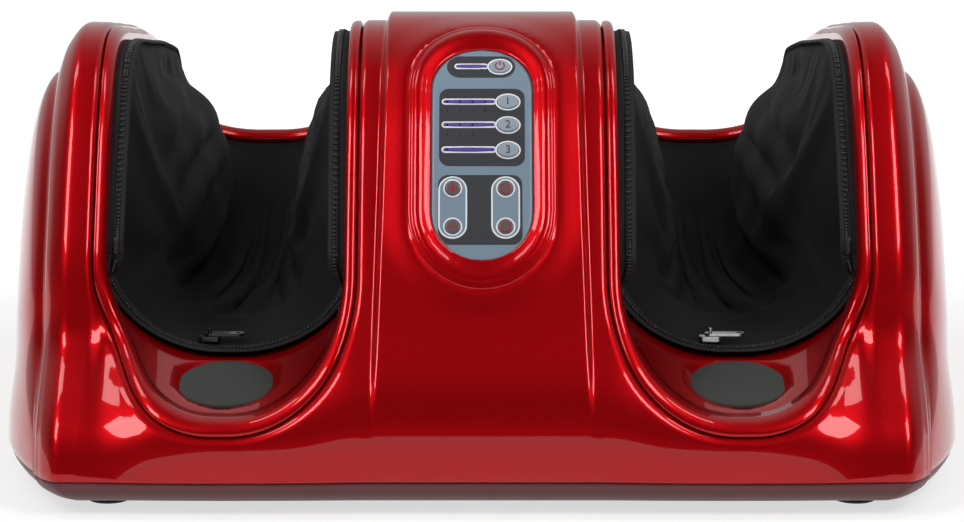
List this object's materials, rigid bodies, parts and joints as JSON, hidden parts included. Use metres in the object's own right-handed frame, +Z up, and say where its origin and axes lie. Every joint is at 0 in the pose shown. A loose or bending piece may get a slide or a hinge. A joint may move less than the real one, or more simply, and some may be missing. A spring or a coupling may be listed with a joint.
{
  "type": "vibrating foot massager",
  "caption": "Gloss red foot and calf massager with two padded leg chambers, a sloped control panel and a belt-driven kneading drive.",
  "frame": {"origin": "on the floor under the middle of the housing", "axes": "+X to the object's right as seen from the front, -Y towards the front, +Z up"},
  "size_m": [0.445, 0.4109, 0.2059],
  "materials": {
    "housing_gloss": "candy red metallic under clear lacquer",
    "tray_plastic": "satin dark red",
    "zip_coil": "black nylon coil",
    "liner_fabric": "matte black woven polyester",
    "pad_rubber": "matte charcoal",
    "overlay_print": "satin printed film",
    "lamp_window": "translucent violet",
    "circuit_board": "green solder mask",
    "switch_plastic": "moulded black",
    "chassis_steel": "zinc grey",
    "bearing_brass": "turned",
    "shaft_steel": "ground",
    "belt_rubber": "moulded",
    "motor_steel": "pressed",
    "magnet_iron": "dark",
    "screw_steel": "zinc plated",
    "gear_plastic": "natural acetal",
    "roller_rubber": "ribbed",
    "paddle_plastic": "moulded",
    "zip_metal": "plated",
    "key_print": "satin printed film"
  },
  "bodies": {
    "housing": {"upper_housing": "housing_gloss", "base_tray": "tray_plastic", "left_chamber_rim": "housing_gloss", "left_zip_track": "zip_coil", "left_leg_liner": "liner_fabric", "left_foot_pad": "pad_rubber", "right_chamber_rim": "housing_gloss", "right_zip_track": "zip_coil", "right_leg_liner": "liner_fabric", "right_foot_pad": "pad_rubber", "panel_bezel": "housing_gloss", "panel_overlay": "overlay_print", "lamp_windows": "lamp_window", "control_board": "circuit_board", "key_switches": "switch_plastic", "chassis": "chassis_steel", "shaft_bearings": "bearing_brass", "paddle_pins": "shaft_steel", "drive_belt": "belt_rubber", "motor_casing": "motor_steel", "motor_magnets": "magnet_iron", "vibration_motors": "motor_steel", "vibration_cradles": "tray_plastic", "power_board": "circuit_board", "transformer_core": "magnet_iron", "transformer_coil": "bearing_brass", "mains_inlet": "switch_plastic", "rubber_feet": "pad_rubber", "casing_screws": "screw_steel"},
    "cross_shaft": {"cross_shaft": "shaft_steel", "skewed_hubs": "gear_plastic", "sole_rollers": "roller_rubber", "drive_gear": "gear_plastic"},
    "lay_shaft": {"lay_shaft": "shaft_steel", "lay_pinion": "gear_plastic", "lay_pulley": "gear_plastic"},
    "motor_rotor": {"motor_rotor": "motor_steel", "motor_pulley": "gear_plastic"},
    "left_outer_paddle": {"left_outer_paddle": "paddle_plastic", "left_outer_paddle_face": "roller_rubber"},
    "left_inner_paddle": {"left_inner_paddle": "paddle_plastic", "left_inner_paddle_face": "roller_rubber"},
    "left_eccentric_weight": {"left_eccentric_weight": "bearing_brass"},
    "left_zip_slider": {"left_zip_slider": "zip_metal"},
    "left_zip_pull": {"left_zip_pull": "zip_metal"},
    "right_outer_paddle": {"right_outer_paddle": "paddle_plastic", "right_outer_paddle_face": "roller_rubber"},
    "right_inner_paddle": {"right_inner_paddle": "paddle_plastic", "right_inner_paddle_face": "roller_rubber"},
    "right_eccentric_weight": {"right_eccentric_weight": "bearing_brass"},
    "right_zip_slider": {"right_zip_slider": "zip_metal"},
    "right_zip_pull": {"right_zip_pull": "zip_metal"},
    "power_key": {"power_key": "key_print"},
    "mode_1_key": {"mode_1_key": "key_print"},
    "mode_2_key": {"mode_2_key": "key_print"},
    "mode_3_key": {"mode_3_key": "key_print"},
    "speed_up_key": {"speed_up_key": "key_print"},
    "speed_down_key": {"speed_down_key": "key_print"},
    "direction_left_key": {"direction_left_key": "key_print"},
    "direction_right_key": {"direction_right_key": "key_print"}
  },
  "joints": [
    {"name": "shaft_spin", "type": "hinge", "parent": "housing", "child": "cross_shaft", "pos_m": [0, 0.01, 0.04], "axis": [1, 0, 0], "continuous": true},
    {"name": "lay_spin", "type": "hinge", "parent": "housing", "child": "lay_shaft", "pos_m": [0, 0.01, 0.076], "axis": [1, 0, 0], "continuous": true},
    {"name": "motor_spin", "type": "hinge", "parent": "housing", "child": "motor_rotor", "pos_m": [0, 0.02, 0.14], "axis": [1, 0, 0], "continuous": true},
    {"name": "left_outer_paddle_rock", "type": "hinge", "parent": "housing", "child": "left_outer_paddle", "pos_m": [-0.18, 0.01, 0.016], "axis": [0, 1, 0], "range_deg": [-3, 3], "stiffness_Nm_per_rad": 6},
    {"name": "left_inner_paddle_rock", "type": "hinge", "parent": "housing", "child": "left_inner_paddle", "pos_m": [-0.048, 0.01, 0.016], "axis": [0, 1, 0], "range_deg": [-3, 3], "stiffness_Nm_per_rad": 6},
    {"name": "left_weight_spin", "type": "hinge", "parent": "housing", "child": "left_eccentric_weight", "pos_m": [-0.119, -0.14, 0.025], "axis": [1, 0, 0], "continuous": true},
    {"name": "left_zip_slide", "type": "slide", "parent": "housing", "child": "left_zip_slider", "axis": [1, 0, 0], "range_m": [0, 0.02]},
    {"name": "left_zip_pull_turn", "type": "hinge", "parent": "left_zip_slider", "child": "left_zip_pull", "pos_m": [-0.124, -0.1163, 0.0635], "axis": [0, 0, 1], "range_deg": [-170, 0]},
    {"name": "right_outer_paddle_rock", "type": "hinge", "parent": "housing", "child": "right_outer_paddle", "pos_m": [0.18, 0.01, 0.016], "axis": [0, 1, 0], "range_deg": [-3, 3], "stiffness_Nm_per_rad": 6},
    {"name": "right_inner_paddle_rock", "type": "hinge", "parent": "housing", "child": "right_inner_paddle", "pos_m": [0.048, 0.01, 0.016], "axis": [0, 1, 0], "range_deg": [-3, 3], "stiffness_Nm_per_rad": 6},
    {"name": "right_weight_spin", "type": "hinge", "parent": "housing", "child": "right_eccentric_weight", "pos_m": [0.119, -0.14, 0.025], "axis": [1, 0, 0], "continuous": true},
    {"name": "right_zip_slide", "type": "slide", "parent": "housing", "child": "right_zip_slider", "axis": [1, 0, 0], "range_m": [0, 0.02]},
    {"name": "right_zip_pull_turn", "type": "hinge", "parent": "right_zip_slider", "child": "right_zip_pull", "pos_m": [0.104, -0.1163, 0.0635], "axis": [0, 0, 1], "range_deg": [-170, 0]},
    {"name": "power_press", "type": "slide", "parent": "housing", "child": "power_key", "axis": [0, 0.8377, -0.5461], "range_m": [0, 0.0006], "stiffness_N_per_m": 600},
    {"name": "mode_1_press", "type": "slide", "parent": "housing", "child": "mode_1_key", "axis": [0, 0.8377, -0.5461], "range_m": [0, 0.0006], "stiffness_N_per_m": 600},
    {"name": "mode_2_press", "type": "slide", "parent": "housing", "child": "mode_2_key", "axis": [0, 0.8377, -0.5461], "range_m": [0, 0.0006], "stiffness_N_per_m": 600},
    {"name": "mode_3_press", "type": "slide", "parent": "housing", "child": "mode_3_key", "axis": [0, 0.8377, -0.5461], "range_m": [0, 0.0006], "stiffness_N_per_m": 600},
    {"name": "speed_up_press", "type": "slide", "parent": "housing", "child": "speed_up_key", "axis": [0, 0.8377, -0.5461], "range_m": [0, 0.0006], "stiffness_N_per_m": 600},
    {"name": "speed_down_press", "type": "slide", "parent": "housing", "child": "speed_down_key", "axis": [0, 0.8377, -0.5461], "range_m": [0, 0.0006], "stiffness_N_per_m": 600},
    {"name": "direction_left_press", "type": "slide", "parent": "housing", "child": "direction_left_key", "axis": [0, 0.8377, -0.5461], "range_m": [0, 0.0006], "stiffness_N_per_m": 600},
    {"name": "direction_right_press", "type": "slide", "parent": "housing", "child": "direction_right_key", "axis": [0, 0.8377, -0.5461], "range_m": [0, 0.0006], "stiffness_N_per_m": 600}
  ],
  "couplings": [
    {"joint": "lay_spin", "follows": "shaft_spin", "ratio": -3},
    {"joint": "motor_spin", "follows": "shaft_spin", "ratio": -9}
  ]
}
